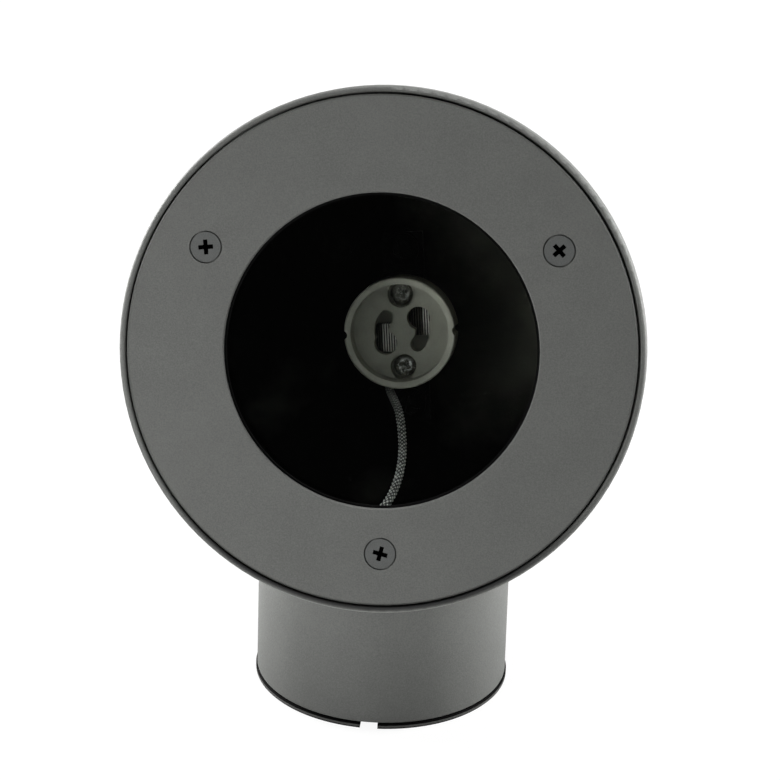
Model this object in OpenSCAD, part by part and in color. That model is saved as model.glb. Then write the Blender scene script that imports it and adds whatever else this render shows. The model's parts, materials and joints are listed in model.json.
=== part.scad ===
// Short garden spotlight: a round head for a twist-lock reflector lamp, tilted on a stub post.
// Millimetres, +Z up. The origin is on the ground, on the axis of the post. The lamp looks towards -Y.
// The head has a frame of its own: X to the right, Y up its face, Z out of its face.

/* [Post] */
// Outer diameter of the post tube
tube_d = 60; // [58:0.5:62]
// Wall of the post tube
tube_wall = 3; // [2.5:0.25:3.5]
// Bevel on the lower outer edge of the tube
tube_bevel = 0.3; // [0.1:0.05:0.5]
// Gap between the coped top of the tube and the head
cope_gap = 0.2; // [0.1:0.05:0.5]
// Radial clearance of the foot and the neck in the tube
slip_fit = 0.1; // [0.05:0.05:0.3]

/* [Base] */
// Thickness of the rubber pad under the post
pad_t = 1.5; // [1.2:0.1:2.5]
// Bevel on the outer edges of the pad
pad_bevel = 0.3; // [0.1:0.05:0.4]
// How far the pad shows outside the tube
pad_lip = 0.3; // [0:0.1:1]
// Width of the drain notch at the front of the pad
notch_w = 4.2; // [3:0.2:6]
// Length of the drain notch, from the rim inwards
notch_l = 9; // [8:0.5:10]
// Thickness of the foot's plate
foot_t = 4.2; // [3:0.1:6]
// Height of the foot's collar above its plate
collar_h = 6.8; // [6:0.2:9]
// Wall of the foot's collar
collar_wall = 3.5; // [3:0.25:4]
// Diameter of the circle of anchor holes
anchor_pcd = 36; // [35:0.5:37]
// Diameter of the anchor holes
anchor_d = 5.5; // [4.5:0.5:6]
// Diameter of the supply cable that the entry takes
cable_d = 8; // [6:0.5:8.5]
// Diameter of the drain hole in the foot
drain_d = 2.4; // [2:0.2:2.8]

/* [Head] */
// Height of the centre of the face above the ground
head_h = 96; // [94:1:104]
// How far the centre of the face lies in front of the post
head_reach = 25; // [22:1:27]
// How far the face looks upwards, in degrees
head_tilt = 20; // [16:1:22]
// Outer diameter of the flange
flange_d = 120.6; // [119:0.1:126]
// Width of the lip around the cover ring
lip_w = 1.55; // [1.4:0.05:1.8]
// How far the lip stands behind the cover's face
lip_drop = 0.9; // [0.2:0.1:1.2]
// Thickness of the flange behind the lip's front
flange_t = 8.3; // [8:0.1:10]
// How far the flange stands out from the body
flange_step = 7.3; // [6:0.1:7.5]
// Wall of the body
body_wall = 4; // [3.5:0.25:4.5]
// Depth of the body behind the cover's face
body_depth = 84; // [82:1:88]
// Outer radius of the body's rounded back edge
back_r = 18; // [14:1:20]
// Wall of the neck that plugs into the tube
neck_wall = 3.9; // [3:0.1:4.5]
// Height of the neck's lower end above the ground
neck_z = 14; // [13.5:0.5:15]

/* [Cover] */
// Width of the cover ring's face, from its rim to the window
cover_w = 22.25; // [21.5:0.05:24]
// Thickness of the cover ring
cover_t = 3; // [2.5:0.25:4]
// Radial gap between the cover ring and the lip
cover_gap = 0.4; // [0.2:0.05:0.5]
// Bevel on the front edges of the cover ring
cover_bevel = 0.3; // [0.1:0.1:0.6]
// Distance of the cover's screws from its rim
cover_screw_edge = 11.85; // [11.6:0.05:12.4]
// How far the cover's screws are turned from the upright, in degrees
cover_turn = 3; // [0:0.5:6]
// Thickness of the cover ring's lip in front of the glass
window_lip_t = 1; // [0.8:0.1:1.4]
// How far the glass reaches behind the cover ring
glass_lap = 4.1; // [3.6:0.1:4.6]
// Thickness of the glass
glass_t = 5; // [4:0.5:6]
// How far the glass's seal shows inside the window
glass_seal_show = 0.6; // [0.2:0.1:1]
// Thickness of the seal in front of the glass
glass_seal_t = 0.6; // [0.5:0.1:1]
// Thickness of the seal under the cover ring
cover_seal_t = 1; // [0.8:0.1:1.5]
// Gap left on faces that part when the cover comes off
parting_gap = 0.05; // [0.02:0.01:0.1]

/* [Lampholder] */
// Distance between the centres of the two pin slots
pin_pitch = 10; // [9.5:0.25:10.5]
// Outer diameter of the ceramic body
holder_d = 26.8; // [26.6:0.1:28.5]
// Diameter of the recess in its front
holder_recess_d = 23.4; // [23:0.2:24]
// How much wider that recess is at its mouth
holder_flare = 0.2; // [0.1:0.1:1]
// Depth of that recess
holder_recess = 8; // [6:0.5:8.5]
// Depth of the lampholder's rim behind the cover's face
holder_depth = 54; // [52:1:55]
// Length of the ceramic body behind its rim
holder_l = 18; // [17:0.5:19]
// How far the lampholder is turned from the upright, in degrees
holder_turn = 6; // [0:1:10]
// Distance between the lampholder's two screws
holder_screw_pitch = 17.6; // [17:0.2:18]

/* [Hidden] */
$fn = 64;
// Overlap of pieces that are joined, and overshoot of pieces that are cut away
eps = 0.01;
cut = 1;

// Finishes, as the photograph shows them
coat = "#55575a";
black_rubber = "#1c1c1d";
ceramic = "#d8d5c8";
steel = "#9a9c9e";
zinc = "#b4b6b8";
braid = "#a9a79f";

// Post
tube_r = tube_d / 2;
tube_bore_r = tube_r - tube_wall;
plug_r = tube_bore_r - slip_fit;
pad_r = tube_r + pad_lip;
pad_hole_gap = 0.3;
foot_top = pad_t + foot_t;
foot_blind = 1;
collar_bore_r = plug_r - collar_wall;
anchor_count = 3;
foot_drain_edge = 0.4;
drain_y = -(collar_bore_r - drain_d / 2 - foot_drain_edge);

// Set screws, at the back of the tube where the photograph doesn't reach
set_screw_d = 5;
set_screw_l = 6;
set_screw_sink = 0.3;
set_screw_fit = 0.05;
hex_key = 2.5;
hex_depth = 2.4;
set_screw_turns = [45, 135];
foot_set_z = foot_top + collar_h * 0.45;
head_set_z = neck_z + 5.5;

// Cable entry
grommet_wall = 2;
grommet_neck_r = cable_d / 2 + grommet_wall;
grommet_flange_r = grommet_neck_r + 1.5;
grommet_flange_t = 1.5;
grommet_taper = 0.8;
grommet_lower_z = 0.4;

// Machine screws by nominal size: diameter, diameter of the head and height of the head
m25_d = 2.5;
m25_head_d = 4;
m25_head_h = 1.4;
m3_d = 3;
m3_head_d = 5.4;
m3_head_h = 2;
m4_d = 4;
m4_head_d = 8;
m4_head_h = 2.6;
m25 = [m25_d, m25_head_d, m25_head_h];
m3 = [m3_d, m3_head_d, m3_head_h];
m4 = [m4_d, m4_head_d, m4_head_h];
thread_fit = 0.05;
through_fit = 0.2;
// How far the crosses of the small screws are turned, as the screws happened to stop
clamp_cross = 20;
fixing_cross = 35;
earth_cross = 10;
holder_cross = 25;
bracket_cross = 15;
clip_cross = 40;
terminal_slots = [20, 30];
// A pan head: its straight side, its flat top, and its cross recess, as shares of its height or diameter
pan_side = 0.55;
pan_top = 0.62;
pan_floor = 0.45;
pan_cross_span = 0.55;
pan_cross_w = 0.15;

// Cord clamp over the cable, behind the entry
clamp_y = 10;
clamp_w = 6;
clamp_x = cable_d / 2 + 5.3;
clamp_floor = foot_top + 4.3;
clamp_flange_t = 3;
clamp_arch_wall = 2.5;
clamp_pillar_r = 2.7;
clamp_end = 0.4;
clamp_screw_l = 8;

// Terminal block in front of the entry
pole_pitch = 6;
pole_count = 3;
block_w = pole_pitch * pole_count;
block_back = -10;
block_l = 9;
block_post_h = 3.3;
block_h = 11;
block_z = foot_top + block_post_h;
block_y = block_back - block_l / 2;
port_z = block_z + 5.8;
port_r = 1.25;
port_l = 3;
well_r = 1.55;
well_y = 2.7;
well_floor = port_z + port_r + 0.1;
block_post_x = pole_pitch / 2;
block_post_r = 2.3;
block_low = 0.6;
pole_gap = 1;
fixing_seat = 4;
fixing_bite = 2;
terminal_screw_l = 2;
terminal_slot = [0.5, 0.8];

// Earth point on the foot
earth_x = -16.5;
earth_y = 2;
earth_boss_r = 3.4;
earth_boss_h = 2;
earth_lug_t = 0.8;
earth_tongue = 6;
earth_turn = 78;
earth_screw_l = 5;
earth_tongue_w = 3;
earth_barrel_l = 1.8;
earth_barrel_wall = 0.2;
earth_lead_d = 2.2;
core_d = 1;

// Head
flange_r = flange_d / 2;
cover_r = flange_r - lip_w - cover_gap;
window_r = cover_r - cover_w;
cover_pcd = 2 * (cover_r - cover_screw_edge);
pocket_r = cover_r + cover_gap;
body_r = flange_r - flange_step;
chamber_r = body_r - body_wall;
chamber_depth = body_depth - body_wall;
chamber_corner = back_r - body_wall;
seat_depth = cover_t + cover_seal_t;
neck_bore_r = plug_r - neck_wall;
neck_top = head_h - chamber_r * cos(head_tilt);
lip_round = 0.9;
lip_inner_round = 0.5;
flange_back_round = 0.8;
root_fillet = 3;
back_floor = 1.5;
flange_back = lip_drop + flange_t;

// Cover screws and the bosses that take them
cover_screw_count = 3;
cover_screw_l = 20;
csk_head_d = 6.9;
csk_rim_h = 0.3;
csk_cone_h = (csk_head_d - m4_d) / 2;
csk_sink = 0.1;
csk_ring = 0.3;
seat_cone_h = csk_cone_h - csk_sink - csk_rim_h;
cross_span = 3.4;
cross_w = 1;
cross_depth = 2.2;
cross_turns = [45, 8, -12];
cover_screw_first = 30;
boss_r = 5.2;
boss_sink = 2;
boss_front = cover_t + boss_sink;
boss_back = 25;
boss_hole_depth = 22;
boss_face_r = 4.2;
cover_seal_w = 6.5;
cover_seal_edge = 1.5;
screw_seal_d = boss_sink - 2 * parting_gap;

// Glass and the clips that hold it to the cover ring
glass_r = window_r + glass_lap;
glass_front = window_lip_t + glass_seal_t;
glass_back = glass_front + glass_t;
glass_bevel = 0.4;
glass_fit = 0.3;
clip_boss_r = 3;
clip_gap = 1.5;
clip_r = glass_r + clip_boss_r + clip_gap;
clip_w = 7;
clip_t = 0.8;
clip_reach = 7;
clip_screw_l = 4.6;
clip_first = 90;
clip_hole_front = cover_t - 0.6;

// Lampholder
holder_r = holder_d / 2;
holder_face = holder_depth + holder_recess;
holder_step = holder_depth + 12;
holder_back = holder_depth + holder_l;
holder_rear_wall = 1.5;
holder_rear_r = holder_screw_pitch / 2 + m3_d / 2 + through_fit + holder_rear_wall;
rim_round = 0.5;
rim_notch_r = 1.1;
rim_notch_out = 0.3;
slot_wide_r = 2.8;
slot_narrow_r = 1.75;
slot_wide_turn = 35;
slot_narrow_turn = -44;
slot_depth = 8.5;
counterbore_r = 3.15;
counterbore_depth = 5.5;
contact_sink = 4.4;
contact_gap = 0.1;
contact_low = -1.5;
contact_high = 5.2;
contact_rib_pitch = 0.6;
contact_rib_first = 1.4;
contact_ribs = 9;
contact_rib_r = 0.27;
lead_hole_x = -4;
lead_hole_y = -7.4;
lead_hole_fit = 0.4;
holder_screw_out = 1;

// Lampholder's bracket
bracket_w = 10;
bracket_t = 1.5;
bracket_leg_y = holder_r - 0.2;
bracket_foot = 11.5;
bracket_screw_y = bracket_leg_y + 5.8;
bracket_pad_r = 5;
bracket_pad_h = 3;
bracket_screw_l = 6;
bracket_foot_back = chamber_depth - bracket_pad_h;

// Lead from the lampholder to the terminal block
lead_d = 2.1;
lead_turn = -12;
lead_port_depth = 32;
port_neck_r = 3.5;
port_flange_r = 5;
port_flange_t = 1.5;
port_flange_gap = 0.3;
port_fit = 0.1;
lead_grip = 0.05;
lead_sides = 8;
lead_steps = 3;
// The part inside the head, in the head's frame: right, up, depth
lead_in_head = [[-3.2, -8, 69], [-3, -11, 69.2], [-2.6, -14.8, 67.2], [1.2, -18.9, 52], [3.4, -25, 39],
  [4, -29.7, 29], [3.4, -33.7, 21], [2.2, -36.5, 14.8], [0, -38.9, 11.8], [-3.4, -41, 11.6],
  [-6.4, -41.8, 14.6], [-8.2, -41.6, 20], [-8.7, -41.6, 25], [-9, -42.4, 29.4], [-9.4, -44.4, 31.7],
  [-10.1, -47.4, 32], [-11.2, -52.8, 32], [-11.8, -55.5, 32]];
lead_hole_depth = lead_in_head[0][2];
// The part inside the post
lead_in_post = [[-11, -16.6, 28.6], [-8, -18.6, 25]];
// The two cores from the end of the braid to the terminals
core_routes = [
  [[-8.1, -19.3, 24.7], [-6.2, -20.4, 22.5], [-3.2, -21.5, 19.5], [-0.8, -21.9, 16.8], [0, -21.2, 15.1],
    [0, -19.6, 14.8], [0, -17, 14.8]],
  [[-7.4, -18.4, 24.5], [-5, -19.2, 23.4], [-0.5, -20, 21.6], [4, -20.4, 18.6], [6, -20.7, 16.2],
    [6, -20.1, 15], [6, -19.2, 14.8], [6, -17, 14.8]]];
// The earth lead, from its lug to the terminal block
earth_route = [[-15.3, 7.9, 9.3], [-15, 9.6, 9.7], [-14.8, 10.8, 12], [-14.5, 9.6, 15], [-13.6, 4.5, 17.6],
  [-11, -2, 18.8], [-8, -6, 18.2], [-6.2, -7.8, 16.4], [-6, -8.9, 15], [-6, -11.6, 14.8]];

// A point of the head's frame, given as right, up and depth, in the post's frame
function from_head(p) = [p[0],
  -head_reach + p[1] * sin(head_tilt) + p[2] * cos(head_tilt),
  head_h + p[1] * cos(head_tilt) - p[2] * sin(head_tilt)];

module at_head() {
  translate([0, -head_reach, head_h]) rotate([90 - head_tilt, 0, 0]) children();
}

// Turned places on the cover: the top right, top left and bottom screws, or the clips between them
module at_cover(r, first) {
  for (i = [0 : cover_screw_count - 1])
    rotate([0, 0, first + cover_turn + i * 360 / cover_screw_count]) translate([r, 0, 0]) children();
}

module at_holder() {
  at_head() rotate([0, 0, holder_turn]) children();
}

module at_set_screws(z) {
  for (turn = set_screw_turns)
    rotate([0, 0, turn]) translate([0, 0, z]) rotate([0, 90, 0]) children();
}

module at_anchors() {
  for (i = [0 : anchor_count - 1])
    rotate([0, 0, 90 + i * 360 / anchor_count]) translate([anchor_pcd / 2, 0, 0]) children();
}

module at_lead_port() {
  at_head() rotate([0, 0, lead_turn]) translate([0, 0, -lead_port_depth]) rotate([90, 0, 0]) children();
}

// A disc or ring from one depth behind the face to a greater one
module depth_ring(r, front, back, bore = 0) {
  translate([0, 0, -back]) difference() {
    cylinder(r = r, h = back - front);
    if (bore > 0) translate([0, 0, -cut]) cylinder(r = bore, h = back - front + 2 * cut);
  }
}

// A pan-head screw that points down from the underside of its head, with its cross recess
module pan_screw(size, length, turn = 0) {
  head_r = size[1] / 2;
  difference() {
    union() {
      cylinder(r = head_r, h = size[2] * pan_side);
      translate([0, 0, size[2] * pan_side])
        cylinder(r1 = head_r, r2 = head_r * pan_top, h = size[2] * (1 - pan_side));
      translate([0, 0, -length]) cylinder(d = size[0], h = length + eps);
    }
    translate([0, 0, size[2] * pan_floor]) rotate([0, 0, turn])
      cross_recess(size[1] * pan_cross_span, size[1] * pan_cross_w, size[2]);
  }
}

module cross_recess(span, width, depth) {
  for (turn = [0, 90])
    rotate([0, 0, turn]) translate([-span / 2, -width / 2, 0]) cube([span, width, depth]);
}

// Points along a smooth curve through chosen ones
function curve_point(p, i, t) =
  let (a = p[max(i - 1, 0)], b = p[i], c = p[i + 1], d = p[min(i + 2, len(p) - 1)])
  0.5 * (2 * b + (c - a) * t + (2 * a - 5 * b + 4 * c - d) * t * t + (3 * b - a - 3 * c + d) * t * t * t);
function curve(p, steps) = concat(
  [for (i = [0 : len(p) - 2], s = [0 : steps - 1]) curve_point(p, i, s / steps)], [p[len(p) - 1]]);
function unit(v) = v / norm(v);
function heading(p, i) = unit(p[min(i + 1, len(p) - 1)] - p[max(i - 1, 0)]);
function square_to(v, t) = unit(v - (v * t) * t);
// The side direction at each point, carried along so that the rings don't twist
function sides(p, i, v) = i == len(p) ? [] :
  let (s = square_to(v, heading(p, i))) concat([s], sides(p, i + 1, s));

module tube_along(route, d, steps, n) {
  p = curve(route, steps);
  first = heading(p, 0);
  start = abs(first[0]) < 0.8 ? [1, 0, 0] : [0, 1, 0];
  side = sides(p, 0, square_to(start, first));
  points = [for (i = [0 : len(p) - 1], k = [0 : n - 1])
    let (a = k * 360 / n, s = side[i], u = cross(heading(p, i), s))
    p[i] + d / 2 * (cos(a) * s + sin(a) * u)];
  walls = [for (i = [0 : len(p) - 2], k = [0 : n - 1])
    let (a = i * n + k, b = i * n + (k + 1) % n) each [[a, a + n, b], [b, a + n, b + n]]];
  last = (len(p) - 1) * n;
  ends = [[for (k = [0 : n - 1]) k], [for (k = [0 : n - 1]) last + n - 1 - k]];
  polyhedron(points = points, faces = concat(walls, ends), convexity = 6);
}

// Half section of the body: straight sides and a rounded back
module body_section(r, depth, corner) {
  translate([0, -depth]) square([r - corner, depth]);
  translate([0, corner - depth]) square([r, depth - corner]);
  translate([r - corner, corner - depth]) circle(r = corner);
}

module body_solid(r, depth, corner) {
  rotate_extrude() intersection() {
    body_section(r, depth, corner);
    translate([0, -depth]) square([r, depth]);
  }
}

module flange_section() {
  inner = flange_r - lip_round;
  translate([0, -flange_back]) square([flange_r - flange_back_round, flange_t - lip_round]);
  translate([0, -lip_drop - lip_round - eps]) square([inner, lip_round + eps]);
  translate([0, flange_back_round - flange_back])
    square([flange_r, flange_t - flange_back_round - lip_round]);
  translate([inner, -lip_drop - lip_round]) circle(r = lip_round);
  translate([flange_r - flange_back_round, flange_back_round - flange_back]) circle(r = flange_back_round);
  difference() {
    translate([body_r - 1, -flange_back - root_fillet]) square([root_fillet + 1, root_fillet + 1]);
    translate([body_r + root_fillet, -flange_back - root_fillet]) circle(r = root_fillet);
  }
}

// What is cut off the inner edge of the lip to round it
module lip_inner_section() difference() {
  translate([pocket_r - eps, -lip_drop - lip_inner_round])
    square([lip_inner_round + eps, lip_inner_round + cut]);
  translate([pocket_r + lip_inner_round, -lip_drop - lip_inner_round]) circle(r = lip_inner_round);
}

module base_pad() color(black_rubber) difference() {
  rotate_extrude() difference() {
    square([pad_r, pad_t]);
    for (z = [0, pad_t]) translate([pad_r, z]) rotate(45) square(pad_bevel * sqrt(2), center = true);
  }
  translate([0, 0, -cut]) cylinder(r = grommet_flange_r + pad_hole_gap, h = pad_t + 2 * cut);
  translate([-notch_w / 2, -pad_r - cut, -cut]) cube([notch_w, notch_l + cut, pad_t + 2 * cut]);
  translate([0, 0, -cut]) at_anchors() cylinder(d = anchor_d, h = pad_t + 2 * cut);
}

module mounting_foot() color(coat) difference() {
  union() {
    translate([0, 0, pad_t]) cylinder(r = plug_r, h = foot_t);
    translate([0, 0, foot_top - eps]) difference() {
      cylinder(r = plug_r, h = collar_h + eps);
      translate([0, 0, -cut]) cylinder(r = collar_bore_r, h = collar_h + 2 * cut);
    }
    for (side = [-1, 1]) {
      translate([side * clamp_x, clamp_y, foot_top - eps])
        cylinder(r = clamp_pillar_r, h = clamp_floor - foot_top + eps);
      translate([side * block_post_x, block_y, foot_top - eps])
        cylinder(r = block_post_r, h = block_post_h + eps);
    }
    translate([earth_x, earth_y, foot_top - eps]) cylinder(r = earth_boss_r, h = earth_boss_h + eps);
  }
  translate([0, 0, pad_t - cut]) cylinder(r = grommet_neck_r, h = foot_t + 2 * cut);
  translate([0, 0, pad_t - cut]) at_anchors() cylinder(d = anchor_d, h = foot_t + 2 * cut);
  translate([0, drain_y, pad_t - cut]) cylinder(d = drain_d, h = foot_t + 2 * cut);
  for (side = [-1, 1])
    translate([side * clamp_x, clamp_y, pad_t + foot_blind])
      cylinder(d = m3_d + 2 * thread_fit, h = clamp_floor);
  translate([block_post_x, block_y, pad_t + foot_blind]) cylinder(d = m25_d + 2 * thread_fit, h = block_z);
  translate([earth_x, earth_y, pad_t + foot_blind])
    cylinder(d = m4_d + 2 * thread_fit, h = foot_top + earth_boss_h);
  at_set_screws(foot_set_z) cylinder(d = set_screw_d + 2 * set_screw_fit, h = tube_r);
}

module cable_grommet() color(black_rubber) difference() {
  union() {
    translate([0, 0, grommet_lower_z]) cylinder(r = grommet_flange_r, h = pad_t - grommet_lower_z);
    translate([0, 0, pad_t - eps]) cylinder(r = grommet_neck_r, h = foot_t + 2 * eps);
    translate([0, 0, foot_top])
      cylinder(r1 = grommet_flange_r, r2 = grommet_flange_r - grommet_taper, h = grommet_flange_t);
  }
  translate([0, 0, -cut]) cylinder(d = cable_d, h = foot_top + grommet_flange_t + 2 * cut);
}

// A saddle that arches over the cable, with a flange on each side
module cord_clamp() color(black_rubber) translate([0, clamp_y - clamp_w / 2, clamp_floor]) difference() {
  arch_r = cable_d / 2 + clamp_arch_wall;
  end_x = clamp_x + m3_head_d / 2 + clamp_end;
  union() {
    translate([-end_x, 0, 0]) cube([2 * end_x, clamp_w, clamp_flange_t]);
    rotate([-90, 0, 0]) cylinder(r = arch_r, h = clamp_w);
  }
  translate([0, -cut, 0]) rotate([-90, 0, 0]) cylinder(d = cable_d, h = clamp_w + 2 * cut);
  translate([-end_x - cut, -cut, -arch_r - cut]) cube([2 * (end_x + cut), clamp_w + 2 * cut, arch_r + cut]);
  for (side = [-1, 1])
    translate([side * clamp_x, clamp_w / 2, -cut])
      cylinder(d = m3_d + 2 * through_fit, h = clamp_flange_t + 2 * cut);
}

module clamp_screws() color(zinc)
  for (side = [-1, 1])
    translate([side * clamp_x, clamp_y, clamp_floor + clamp_flange_t])
      pan_screw(m3, clamp_screw_l, clamp_cross * side);

// The middle of one pole of the terminal block
function pole_x(i) = (i - (pole_count - 1) / 2) * pole_pitch;

module terminal_block() color("#e4e2da") difference() {
  union() {
    translate([-block_w / 2, block_back - block_l, block_z]) cube([block_w, block_l, block_h * block_low]);
    for (i = [0 : pole_count - 1])
      translate([pole_x(i) - (pole_pitch - pole_gap) / 2, block_back - block_l, block_z])
        cube([pole_pitch - pole_gap, block_l, block_h]);
  }
  for (i = [0 : pole_count - 1]) translate([pole_x(i), 0, 0]) {
    for (side = [-1, 1])
      translate([0, block_y + side * well_y, well_floor]) cylinder(r = well_r, h = block_h);
    for (mouth = [block_back + cut, block_back - block_l + port_l])
      translate([0, mouth, port_z]) rotate([90, 0, 0]) cylinder(r = port_r, h = port_l + cut);
  }
  for (side = [-1, 1]) translate([side * block_post_x, block_y, block_z]) {
    translate([0, 0, -cut]) cylinder(d = m25_d + 2 * through_fit, h = block_h + 2 * cut);
    translate([0, 0, fixing_seat]) cylinder(d = m25_head_d + 2 * through_fit, h = block_h);
  }
}

module terminal_screws() color(zinc)
  for (i = [0 : pole_count - 1], side = [-1, 1])
    translate([pole_x(i), block_y + side * well_y, well_floor]) difference() {
      cylinder(r = well_r - thread_fit, h = terminal_screw_l);
      rotate([0, 0, terminal_slots[1] * i + terminal_slots[0] * side])
        translate([-well_r, -terminal_slot[0] / 2, terminal_screw_l - terminal_slot[1]])
          cube([2 * well_r, terminal_slot[0], terminal_slot[1] + cut]);
    }

module terminal_fixing_screw() color(zinc)
  translate([block_post_x, block_y, block_z + fixing_seat])
    pan_screw(m25, fixing_seat + fixing_bite, fixing_cross);

module earth_screw() color("#b99a4e")
  translate([earth_x, earth_y, foot_top + earth_boss_h + earth_lug_t])
    pan_screw(m4, earth_screw_l, earth_cross);

module earth_lead() color("#7f9a3c") {
  lug_z = foot_top + earth_boss_h;
  translate([earth_x, earth_y, lug_z]) rotate([0, 0, earth_turn]) difference() {
    union() {
      cylinder(r = earth_boss_r, h = earth_lug_t);
      translate([0, -earth_tongue_w / 2, 0]) cube([earth_tongue, earth_tongue_w, earth_lug_t]);
      translate([earth_tongue - earth_barrel_l, 0, earth_lead_d / 2]) rotate([0, 90, 0])
        cylinder(d = earth_lead_d + 2 * earth_barrel_wall, h = earth_barrel_l);
    }
    translate([0, 0, -cut]) cylinder(d = m4_d + 2 * through_fit, h = earth_lug_t + 2 * cut);
  }
  tube_along(earth_route, earth_lead_d, 2, lead_sides);
}

module post_tube() color(coat) difference() {
  rotate_extrude() difference() {
    translate([0, pad_t]) square([tube_r, neck_top - pad_t]);
    translate([tube_r, pad_t]) rotate(45) square(tube_bevel * sqrt(2), center = true);
  }
  translate([0, 0, pad_t - cut]) cylinder(r = tube_bore_r, h = neck_top);
  at_head() body_solid(body_r + cope_gap, body_depth + cope_gap, back_r + cope_gap);
  for (z = [foot_set_z, head_set_z])
    at_set_screws(z) cylinder(d = set_screw_d + 2 * set_screw_fit, h = tube_r + cut);
}

module set_screws(z) {
  at_set_screws(z) difference() {
    translate([0, 0, tube_r - set_screw_sink - set_screw_l]) cylinder(d = set_screw_d, h = set_screw_l);
    translate([0, 0, tube_r - set_screw_sink - hex_depth])
      cylinder(r = hex_key / sqrt(3), h = hex_depth + cut, $fn = 6);
  }
}

module foot_set_screws() color(steel) set_screws(foot_set_z);

module head_set_screws() color(steel) set_screws(head_set_z);

module head_housing() color(coat) difference() {
  union() {
    difference() {
      union() {
        difference() {
          translate([0, 0, neck_z]) cylinder(r = plug_r, h = neck_top - neck_z);
          translate([0, 0, neck_z - cut]) cylinder(r = neck_bore_r, h = neck_top);
        }
        at_head() {
          body_solid(body_r, body_depth, back_r);
          rotate_extrude() flange_section();
        }
      }
      at_head() {
        translate([0, 0, eps]) body_solid(chamber_r, chamber_depth + eps, chamber_corner);
        depth_ring(pocket_r, -cut, seat_depth);
        rotate_extrude() lip_inner_section();
      }
    }
    at_head() at_cover(cover_pcd / 2, cover_screw_first) depth_ring(boss_r, boss_front, boss_back);
    at_holder() for (side = [-1, 1])
      translate([0, side * bracket_screw_y, 0])
        depth_ring(bracket_pad_r, bracket_foot_back, chamber_depth + cut);
  }
  at_head() at_cover(cover_pcd / 2, cover_screw_first) {
    depth_ring(boss_face_r, seat_depth - cut, boss_front);
    depth_ring(m4_d / 2 + 2 * thread_fit, boss_front - cut, boss_hole_depth);
  }
  at_holder() for (side = [-1, 1])
    translate([0, side * bracket_screw_y, 0])
      depth_ring(m4_d / 2 + thread_fit, bracket_foot_back - cut, body_depth - back_floor);
  at_lead_port() translate([0, 0, chamber_r - 3 * cut]) cylinder(r = port_neck_r, h = body_wall + 6 * cut);
  at_set_screws(head_set_z) cylinder(d = set_screw_d + 2 * set_screw_fit, h = tube_r);
}

module lead_grommet() color(black_rubber) at_lead_port() difference() {
  union() {
    translate([0, 0, chamber_r - port_flange_gap - port_flange_t])
      cylinder(r = port_flange_r, h = port_flange_t);
    translate([0, 0, chamber_r - port_flange_gap - eps])
      cylinder(r = port_neck_r - thread_fit, h = body_wall + port_flange_gap + port_fit + 2 * eps);
    translate([0, 0, body_r + port_fit])
      cylinder(r1 = port_flange_r, r2 = port_flange_r - grommet_taper, h = port_flange_t);
  }
  cylinder(r = lead_d / 2 - lead_grip, h = body_r + port_flange_r);
}

module lamp_lead() color(braid)
  tube_along(concat([for (p = lead_in_head) from_head(p)], lead_in_post), lead_d, lead_steps, lead_sides);

module lead_cores() color("#c9c7bf")
  for (route = core_routes) tube_along(route, core_d, 2, lead_sides);

// A slot for one pin, drawn in by a gap: wide where the pin's head goes in, narrow where it locks
module pin_slot(gap = 0) {
  r = pin_pitch / 2;
  reach = holder_r;
  rotate([0, 0, slot_wide_turn]) translate([r, 0]) circle(r = slot_wide_r - gap);
  rotate([0, 0, slot_narrow_turn]) translate([r, 0]) circle(r = slot_narrow_r - gap);
  intersection() {
    difference() {
      circle(r = r + slot_narrow_r - gap);
      circle(r = r - slot_narrow_r + gap);
    }
    polygon([[0, 0], reach * [cos(slot_narrow_turn), sin(slot_narrow_turn)], [reach, 0],
      reach * [cos(slot_wide_turn), sin(slot_wide_turn)]]);
  }
}

module lampholder_body() color(ceramic) at_holder() difference() {
  union() {
    rotate_extrude() {
      translate([0, -holder_step]) square([holder_r, holder_step - holder_depth - rim_round]);
      translate([0, -holder_step]) square([holder_r - rim_round, holder_step - holder_depth]);
      intersection() {
        translate([holder_r - rim_round, -holder_depth - rim_round]) circle(r = rim_round);
        translate([holder_r - rim_round, -holder_depth - rim_round]) square(rim_round);
      }
    }
    depth_ring(holder_rear_r, holder_step - eps, holder_back);
  }
  translate([0, 0, -holder_face]) cylinder(h = holder_recess + cut, r1 = holder_recess_d / 2,
    r2 = (holder_recess_d + holder_flare * (1 + cut / holder_recess)) / 2);
  translate([0, 0, -holder_face - slot_depth]) for (turn = [0, 180])
    rotate([0, 0, turn]) linear_extrude(slot_depth + cut) pin_slot();
  for (side = [-1, 1]) translate([0, side * holder_screw_pitch / 2, 0]) {
    depth_ring(counterbore_r, holder_face - cut, holder_face + counterbore_depth);
    depth_ring(m3_d / 2 + through_fit, holder_face, holder_back + cut);
  }
  for (side = [-1, 1])
    translate([side * (holder_r + rim_notch_out), 0, 0])
      depth_ring(rim_notch_r, holder_depth - cut, holder_step + cut);
  translate([lead_hole_x, lead_hole_y, -lead_hole_depth]) rotate([90, 0, 0])
    cylinder(r = lead_d / 2 + lead_hole_fit, h = holder_r);
}

// A ribbed spring leaf on the floor of each slot, under its wide end
module lampholder_contacts() color(zinc) at_holder() for (turn = [0, 180]) rotate([0, 0, turn]) {
  height = slot_depth - contact_sink;
  translate([0, 0, -holder_face - slot_depth]) intersection() {
    linear_extrude(height + cut) pin_slot(contact_gap);
    union() {
      translate([0, contact_low, -cut]) cube([holder_r, contact_high - contact_low, height + cut]);
      for (i = [0 : contact_ribs - 1])
        translate([contact_rib_first + i * contact_rib_pitch, contact_high, height]) rotate([90, 0, 0])
          cylinder(r = contact_rib_r, h = contact_high - contact_low);
    }
  }
}

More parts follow.
